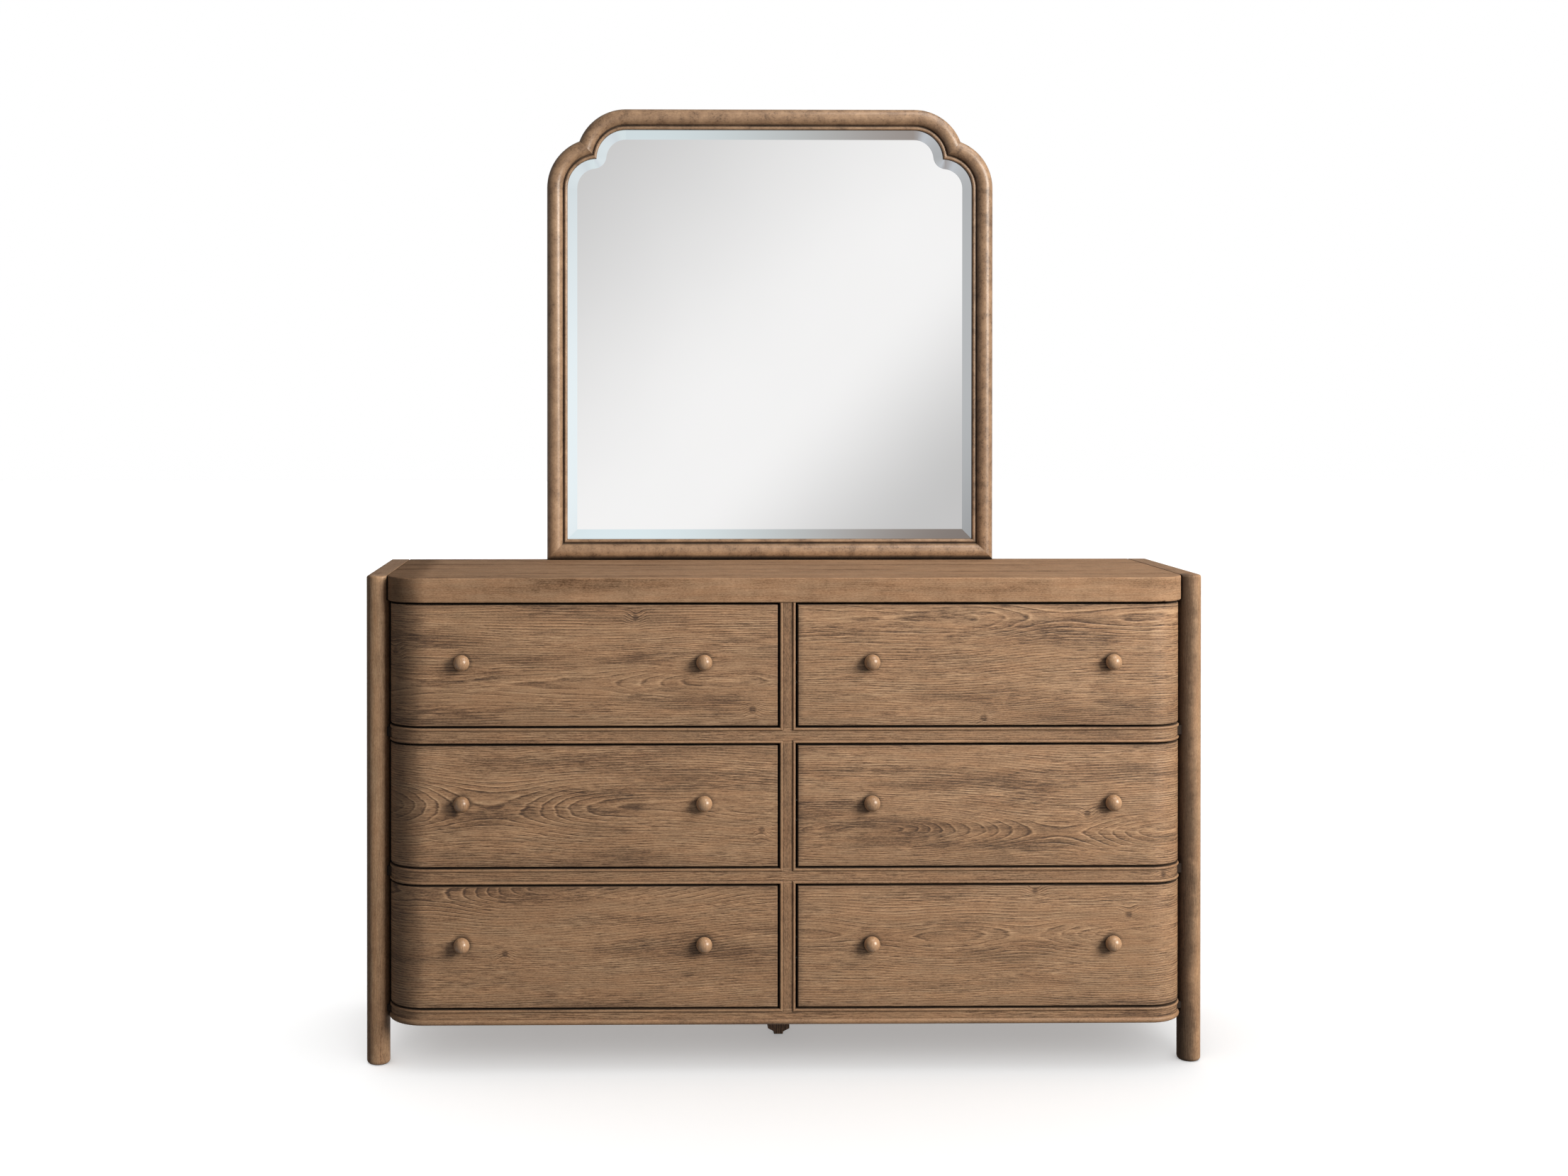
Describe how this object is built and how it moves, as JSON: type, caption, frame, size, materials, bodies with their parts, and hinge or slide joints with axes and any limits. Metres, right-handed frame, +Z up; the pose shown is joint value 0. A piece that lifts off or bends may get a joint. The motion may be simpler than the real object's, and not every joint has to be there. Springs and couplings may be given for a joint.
{
  "type": "dresser with mirror",
  "caption": "Bow-cornered pine dresser with drawers on telescopic slides, round corner posts, turned knobs and a stepped-corner framed mirror standing on its top.",
  "frame": {"origin": "on the floor, under the middle of the whole object", "axes": "+Z up, -Y the side the drawers open to, +X to the right of a person facing the drawers"},
  "size_m": [1.678, 0.518, 1.9735],
  "materials": {
    "pine": "wire-brushed pine, brown stain with darker glaze in the joints, low sheen",
    "drawer_wood": "planed and sealed, satin",
    "frame_wood": "planed, unstained",
    "backing_board": "thin board, matt",
    "slide_steel": "zinc plated",
    "mirror_silver": "silvered glass with a wide polished bevel",
    "dark_support": "dark brown stain",
    "pad_plastic": "moulded, dark brown"
  },
  "bodies": {
    "case": {"back_panel": "backing_board", "back_rails": "pine", "bead_strips": "pine", "bottom_panel": "backing_board", "centre_foot": "dark_support", "centre_partition": "frame_wood", "centre_stile": "pine", "end_lower_rails": "pine", "end_panels": "pine", "end_top_rail_left": "pine", "end_top_rail_right": "pine", "foot_pad": "pad_plastic", "front_post_left": "pine", "front_post_right": "pine", "mirror_backing": "backing_board", "mirror_bottom_rail": "pine", "mirror_corners": "pine", "mirror_glass": "mirror_silver", "mirror_stile_left": "pine", "mirror_stile_right": "pine", "mirror_supports": "frame_wood", "mirror_top_rail": "pine", "outer_slides": "slide_steel", "rail_bottom": "pine", "rail_lower": "pine", "rail_upper": "pine", "rear_posts": "pine", "slide_mounting_rails": "frame_wood", "support_screws": "slide_steel", "top_board": "pine"},
    "drawer_left_bottom": {"drawer_left_bottom_box": "drawer_wood", "drawer_left_bottom_front": "pine", "drawer_left_bottom_knobs": "pine", "drawer_left_bottom_runners_and_screws": "slide_steel"},
    "drawer_left_bottom_slides": {"drawer_left_bottom_middle_slides": "slide_steel"},
    "drawer_left_middle": {"drawer_left_middle_box": "drawer_wood", "drawer_left_middle_front": "pine", "drawer_left_middle_knobs": "pine", "drawer_left_middle_runners_and_screws": "slide_steel"},
    "drawer_left_middle_slides": {"drawer_left_middle_middle_slides": "slide_steel"},
    "drawer_left_top": {"drawer_left_top_box": "drawer_wood", "drawer_left_top_front": "pine", "drawer_left_top_knobs": "pine", "drawer_left_top_runners_and_screws": "slide_steel"},
    "drawer_left_top_slides": {"drawer_left_top_middle_slides": "slide_steel"},
    "drawer_right_bottom": {"drawer_right_bottom_box": "drawer_wood", "drawer_right_bottom_front": "pine", "drawer_right_bottom_knobs": "pine", "drawer_right_bottom_runners_and_screws": "slide_steel"},
    "drawer_right_bottom_slides": {"drawer_right_bottom_middle_slides": "slide_steel"},
    "drawer_right_middle": {"drawer_right_middle_box": "drawer_wood", "drawer_right_middle_front": "pine", "drawer_right_middle_knobs": "pine", "drawer_right_middle_runners_and_screws": "slide_steel"},
    "drawer_right_middle_slides": {"drawer_right_middle_middle_slides": "slide_steel"},
    "drawer_right_top": {"drawer_right_top_box": "drawer_wood", "drawer_right_top_front": "pine", "drawer_right_top_knobs": "pine", "drawer_right_top_runners_and_screws": "slide_steel"},
    "drawer_right_top_slides": {"drawer_right_top_middle_slides": "slide_steel"}
  },
  "joints": [
    {"name": "drawer_left_bottom_travel", "type": "slide", "parent": "case", "child": "drawer_left_bottom", "axis": [0, -1, 0], "range_m": [0, 0.33]},
    {"name": "drawer_left_bottom_slides_travel", "type": "slide", "parent": "case", "child": "drawer_left_bottom_slides", "axis": [0, -1, 0], "range_m": [0, 0.165]},
    {"name": "drawer_left_middle_travel", "type": "slide", "parent": "case", "child": "drawer_left_middle", "axis": [0, -1, 0], "range_m": [0, 0.33]},
    {"name": "drawer_left_middle_slides_travel", "type": "slide", "parent": "case", "child": "drawer_left_middle_slides", "axis": [0, -1, 0], "range_m": [0, 0.165]},
    {"name": "drawer_left_top_travel", "type": "slide", "parent": "case", "child": "drawer_left_top", "axis": [0, -1, 0], "range_m": [0, 0.33]},
    {"name": "drawer_left_top_slides_travel", "type": "slide", "parent": "case", "child": "drawer_left_top_slides", "axis": [0, -1, 0], "range_m": [0, 0.165]},
    {"name": "drawer_right_bottom_travel", "type": "slide", "parent": "case", "child": "drawer_right_bottom", "axis": [0, -1, 0], "range_m": [0, 0.33]},
    {"name": "drawer_right_bottom_slides_travel", "type": "slide", "parent": "case", "child": "drawer_right_bottom_slides", "axis": [0, -1, 0], "range_m": [0, 0.165]},
    {"name": "drawer_right_middle_travel", "type": "slide", "parent": "case", "child": "drawer_right_middle", "axis": [0, -1, 0], "range_m": [0, 0.33]},
    {"name": "drawer_right_middle_slides_travel", "type": "slide", "parent": "case", "child": "drawer_right_middle_slides", "axis": [0, -1, 0], "range_m": [0, 0.165]},
    {"name": "drawer_right_top_travel", "type": "slide", "parent": "case", "child": "drawer_right_top", "axis": [0, -1, 0], "range_m": [0, 0.33]},
    {"name": "drawer_right_top_slides_travel", "type": "slide", "parent": "case", "child": "drawer_right_top_slides", "axis": [0, -1, 0], "range_m": [0, 0.165]}
  ],
  "couplings": [
    {"joint": "drawer_left_bottom_slides_travel", "follows": "drawer_left_bottom_travel", "ratio": 0.5},
    {"joint": "drawer_left_middle_slides_travel", "follows": "drawer_left_middle_travel", "ratio": 0.5},
    {"joint": "drawer_left_top_slides_travel", "follows": "drawer_left_top_travel", "ratio": 0.5},
    {"joint": "drawer_right_bottom_slides_travel", "follows": "drawer_right_bottom_travel", "ratio": 0.5},
    {"joint": "drawer_right_middle_slides_travel", "follows": "drawer_right_middle_travel", "ratio": 0.5},
    {"joint": "drawer_right_top_slides_travel", "follows": "drawer_right_top_travel", "ratio": 0.5}
  ]
}
